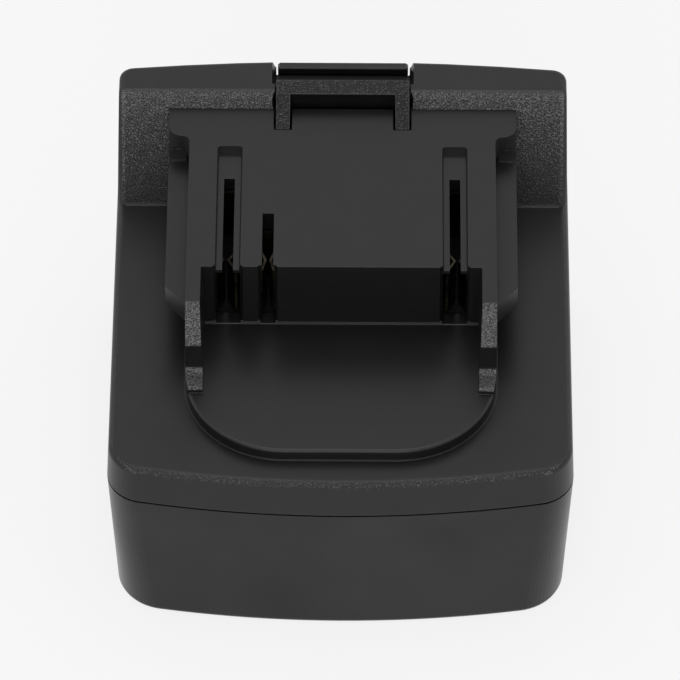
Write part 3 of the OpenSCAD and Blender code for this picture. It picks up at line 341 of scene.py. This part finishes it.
# Painted light: more pale crests where faces lean sideways and towards the front are painted highlights;
# fewer crests lower down the hood are painted shade.
side_glints = combine(tree, "MULTIPLY", ramp_between(tree, sideways, 0.1, 0.3, 0.0, 0.12),
                      ramp_between(tree, sideways, 0.6, 0.4))
front_glints = ramp_between(tree, position["Y"], 0.0, -0.02, 0.0, 0.05)
foot_shade = ramp_between(tree, position["Z"], 0.038, 0.057, 0.15, 0.01)
glint_dimming = combine(tree, "SUBTRACT", foot_shade, combine(tree, "MAXIMUM", side_glints, front_glints))
satin_tone = tone_between(tree, cloud(tree, place, 0.006, 3.0), 0.35, "#0e0e0f", 0.7, "#131314")
# Pits painted dark as shade, crests pale as glints, edges #2e2e2f as a painted highlight.
erode(tree, surface, place, eroded, satin_tone, 0.00025, 0.0002, 0.0003, "#2e2e2f", glint_dimming)
feed(tree, surface, gloss=ramp_between(tree, eroded, 0.0, 1.0, 0.36, 0.28))
dress("top_cover", cover_abs)


# Slide deck: the rail block, pad and ears that the tool slides on, screwed down on the cover.
# Moulded ABS with satin running faces; the ears' sloping fronts and low steps are eroded, their sparkle
# and edge highlights painted, and the rounded ends of the slots and necks are dull and painted near
# black, a painted shade in these recesses.
deck_abs, tree, surface, place = start_material("satin ABS, black",
                                                {"IOR": 1.52, "Specular IOR Level": 0.35})
position = parts_of(tree, place)
facing_up = parts_of(tree, face_normal(tree))["Z"]
outside_channel = ramp_between(tree, size_of(tree, position["X"]), 0.0238, 0.0239)
above_pad = ramp_between(tree, position["Z"], 0.0405, 0.0408)
ear_front = combine(tree, "MULTIPLY", ramp_between(tree, position["Y"], -0.0148, -0.0151), above_pad)
eroded = combine(tree, "MULTIPLY", combine(tree, "MULTIPLY", outside_channel, ear_front),
                 ramp_between(tree, facing_up, 0.1, 0.3))
off_flat = combine(tree, "MULTIPLY", ramp_between(tree, facing_up, 0.999, 0.97),
                   ramp_between(tree, position["Z"], 0.0497, 0.0499))
# The scoops are made rough and painted near black (#040404): painted shade for the recess ends.
dull_shaded_scoops = combine(tree, "MULTIPLY", ramp_between(tree, position["Y"], 0.0205, 0.0212), off_flat)
satin_tone = tone_between(tree, cloud(tree, place, 0.006, 3.0), 0.3, "#0f0f10", 0.75, "#131314")
smooth_tone = mix_tone(tree, dull_shaded_scoops, satin_tone, "#040404")
erode(tree, surface, place, eroded, smooth_tone, 0.00025, 0.00014, 0.0002, "#242425")
feed(tree, surface,
     gloss=combine(tree, "MAXIMUM", ramp_between(tree, dull_shaded_scoops, 0.0, 1.0, 0.0, 0.9),
                   ramp_between(tree, eroded, 0.0, 1.0, 0.33, 0.28)))
dress("slide_deck", deck_abs)


# Spring contacts: two power contacts and a narrow signal contact, dropped into the contact block.
# Stamped and bent phosphor brass, dulled in patches by handling; its colour is painted very dark,
# a painted shade for the deep slots that hold it.
clip_brass, tree, surface, place = start_material("rolled brass", {"Metallic": 1.0})
feed(tree, surface,
     tone=tone_between(tree, cloud(tree, place, 0.003, 4.0), 0.35, "#1d1b18", 0.65, "#4a453b"),
     gloss=ramp_between(tree, cloud(tree, place, 0.002, 3.0), 0.3, 0.7, 0.25, 0.42))
for name in ("positive_clip", "negative_clip", "signal_clip"):
    dress(name, clip_brass)


# Latch slider: the ramped bracket that springs up behind the tool's catch.
# Moulded acetal, eroded all over, with a grain like the hood's; its sparkle is painted as pale crests,
# and its edges are painted a pale grey (#66666a) as a highlight.
latch_pom, tree, surface, place = start_material("eroded acetal, black",
                                                 {"IOR": 1.48, "Specular IOR Level": 0.22, "Roughness": 0.3})
off_upright = ramp_between(tree, parts_of(tree, face_normal(tree))["Z"], 0.1, 0.3)
smooth_tone = tone_between(tree, cloud(tree, place, 0.004, 3.0), 0.35, "#0d0d0e", 0.7, "#111112")
erode(tree, surface, place, off_upright, smooth_tone, 0.00026, 0.00014, 0.00025, "#66666a", 0.1)
dress("latch_slider", latch_pom)


# Release button: the thumb plate at the back, snapped to the latch slider by two pins.
# Moulded ABS, polished, with a ribbed grip on the thumb side.
button_abs, tree, surface, place = start_material("polished ABS, deep black",
                                                  {"IOR": 1.52, "Specular IOR Level": 0.4})
feed(tree, surface,
     tone=tone_between(tree, cloud(tree, place, 0.004, 2.0), 0.0, "#0b0b0c", 1.0, "#101011"),
     gloss=ramp_between(tree, cloud(tree, place, 0.003, 3.0), 0.3, 0.7, 0.12, 0.26),
     normal=soften(tree, 0.0002))
dress("release_button", button_abs)


# Screws: thread-forming pan heads with a cross recess, driven up from below; four in the corner
# columns, four through the cover into the deck's bosses and two in the terminal block. Cold-headed
# steel with rolled threads and zinc plating, cool and slightly mottled.
def dome_edge(head, below):
    """Rounds the edges of the active object that lie lower than below."""
    bpy.ops.object.mode_set(mode="EDIT")
    bpy.ops.mesh.select_mode(type="EDGE")
    bpy.ops.mesh.select_all(action="DESELECT")
    bpy.ops.object.mode_set(mode="OBJECT")
    for edge in head.data.edges:
        edge.select = all(head.data.vertices[v].co.z < below for v in edge.vertices)
    bpy.ops.object.mode_set(mode="EDIT")
    bpy.ops.mesh.bevel(offset=0.0008, segments=5, affect="EDGES")
    bpy.ops.object.mode_set(mode="OBJECT")


def screw(seat, tip):
    """A screw on the Z axis, pointing up, its head's seat at height seat and its end at height tip."""
    head_radius, head_height = 0.00228, 0.00178
    core_radius, end_radius, point_length = 0.00098, 0.0003, 0.001
    crest_radius, pitch, plain_length = 0.00034, 0.00105, 0.0012
    head = active_from(bpy.ops.mesh.primitive_cylinder_add, vertices=48, radius=head_radius,
                       depth=head_height, location=(0, 0, seat - head_height / 2))
    dome_edge(head, seat - 0.001)
    for turn in (0.0, radians(90)):
        wing = active_from(bpy.ops.mesh.primitive_cube_add, size=1.0, location=(0, 0, seat - 0.0015),
                           rotation=(0, 0, turn), scale=(0.0027, 0.0006, 0.0014))
        bpy.context.view_layer.objects.active = head
        finish_modifier(head, "BOOLEAN", operation="DIFFERENCE", object=wing)
        bpy.data.objects.remove(wing)
    core_end = tip - point_length
    core = active_from(bpy.ops.mesh.primitive_cylinder_add, vertices=32, radius=core_radius,
                       depth=core_end - seat, location=(0, 0, (seat + core_end) / 2))
    point = active_from(bpy.ops.mesh.primitive_cone_add, vertices=32, radius1=core_radius,
                        radius2=end_radius, depth=point_length, location=(0, 0, core_end + point_length / 2))
    turns = int((tip - 0.0016 - seat - plain_length) / pitch)
    ridge = coil(3, crest_radius, core_radius - 0.00002, seat + plain_length, [(turns, pitch)])
    join_into(head, [core, point, ridge])
    return head


def screw_set(node_name, places, seat, tip):
    """One piece of like screws, each with its recess at another angle."""
    pattern = screw(seat, tip)
    pattern.data.materials.append(zinc_steel)
    copies = []
    for x, y in places:
        copy = bpy.data.objects.new(node_name + "_threaded", pattern.data.copy())
        bpy.context.collection.objects.link(copy)
        turn = Matrix.Rotation(radians(40 * len(copies)), 4, "Z")
        copy.data.transform(Matrix.Translation((x, y, 0)) @ turn)
        copies.append(copy)
    bpy.data.objects.remove(pattern)
    join_into(copies[0], copies[1:])
    bpy.ops.object.shade_smooth_by_angle(angle=radians(35))
    hand_in(copies[0], node_name)


zinc_steel, tree, surface, place = start_material("zinc-plated steel",
                                                  {"Base Color": linear_colour("#a5a9ad"), "Metallic": 1.0})
feed(tree, surface, gloss=ramp_between(tree, cloud(tree, place, 0.0006, 3.0), 0.3, 0.7, 0.25, 0.45))
column_places = [(x, y) for x in (-0.03555, 0.03555) for y in (-0.029, 0.035)]
boss_places = [(side * x, y) for side in (-1, 1) for x, y in ((0.006675, 0.003), (0.013475, 0.0208))]
block_places = [(x, -0.0284) for x in (-0.0105, 0.0105)]
screw_set("case_screws", column_places, 0.012, 0.0358)
screw_set("deck_screws", boss_places, 0.0356, 0.0433)
screw_set("terminal_screws", block_places, 0.0165, 0.0287)


# Studio: a pale floor just under the part, a white surround, and soft boxes above and in front.
# Rays that show the background meet pure white; all others meet the paler light of a room.
def is_seen(tree):
    """1 for rays that show the background: straight from the camera, mirrored or through glass."""
    ray = add_node(tree, "ShaderNodeLightPath").outputs
    mirrored = combine(tree, "MAXIMUM", ray["Is Glossy Ray"], ray["Is Transmission Ray"])
    return combine(tree, "MAXIMUM", ray["Is Camera Ray"], mirrored)


def mix_shader(tree, share, first, second):
    blend = add_node(tree, "ShaderNodeMixShader", links={"Fac": share})
    tree.links.new(first, blend.inputs[1])
    tree.links.new(second, blend.inputs[2])
    return blend.outputs["Shader"]


white = (1, 1, 1, 1)
floor = active_from(bpy.ops.mesh.primitive_plane_add, size=4.0, location=(0, 0, -0.0002))
floor.name = "floor"
floor_paint, tree, surface, place = start_material("pale matt floor", {"Roughness": 0.8})
surface.inputs["Base Color"].default_value = linear_colour("#f0f0ef")
glow = add_node(tree, "ShaderNodeEmission", {"Color": white, "Strength": 1.0}).outputs["Emission"]
glow_share = combine(tree, "MULTIPLY", is_seen(tree), 0.8)
tree.links.new(mix_shader(tree, glow_share, surface.outputs["BSDF"], glow),
               tree.nodes["Material Output"].inputs["Surface"])
floor.data.materials.append(floor_paint)

world = bpy.data.worlds.new("soft studio")
bpy.context.scene.world = world
world.use_nodes = True
tree = world.node_tree
tree.nodes.clear()
room, backdrop = [add_node(tree, "ShaderNodeBackground", {"Color": white, "Strength": strength})
                  for strength in (0.5, 1.0)]
surround = mix_shader(tree, is_seen(tree), room.outputs["Background"], backdrop.outputs["Background"])
add_node(tree, "ShaderNodeOutputWorld", links={"Surface": surround})

middle_of_part = Vector((0, 0, 0.03))
for name, spot, size, power in (("overhead box", (0.0, 0.0, 1.2), 0.8, 3.0),
                                ("front box", (-0.1, -1.1, 0.4), 0.7, 4.0)):
    lamp = bpy.data.lights.new(name, "AREA")
    lamp.shape = "SQUARE"
    lamp.size = size
    lamp.energy = power
    holder = bpy.data.objects.new(name, lamp)
    holder.location = spot
    holder.rotation_euler = (middle_of_part - Vector(spot)).to_track_quat("-Z", "Y").to_euler()
    bpy.context.collection.objects.link(holder)


# Camera: 47 degrees above the horizontal, a hair to the right of straight on, with a long lens.
# The point aim, at the deck's height, falls on the pixel that the fit to the photo gives it.
tilt, turn, roll = radians(47.0), radians(0.29), radians(-0.08)
picture_side = 680
focal_pixels = 7150.0
pixels_per_mm = 5.69
aim = Vector((-0.00025, -0.0115, 0.0548))
aim_column, aim_row = 339.85, 288
depth = focal_pixels / pixels_per_mm / 1000
forward = Vector((-sin(turn) * cos(tilt), cos(turn) * cos(tilt), -sin(tilt)))
level = Vector((cos(turn), sin(turn), 0))
rise = Vector((-sin(turn) * sin(tilt), cos(turn) * sin(tilt), cos(tilt)))
right = cos(roll) * level - sin(roll) * rise
upward = cos(roll) * rise + sin(roll) * level
pixel = depth / focal_pixels
eye = aim - depth * forward
eye -= (aim_column - picture_side / 2) * pixel * right
eye += (aim_row - picture_side / 2) * pixel * upward
lens = bpy.data.cameras.new("camera")
lens.sensor_width = 36.0
lens.lens = focal_pixels / picture_side * lens.sensor_width
lens.clip_start = 0.05
lens.clip_end = 20.0
camera = bpy.data.objects.new("camera", lens)
camera.matrix_world = Matrix((
    (right.x, upward.x, -forward.x, eye.x),
    (right.y, upward.y, -forward.y, eye.y),
    (right.z, upward.z, -forward.z, eye.z),
    (0, 0, 0, 1)))
bpy.context.collection.objects.link(camera)
bpy.context.scene.camera = camera
bpy.context.scene.view_settings.view_transform = "Standard"
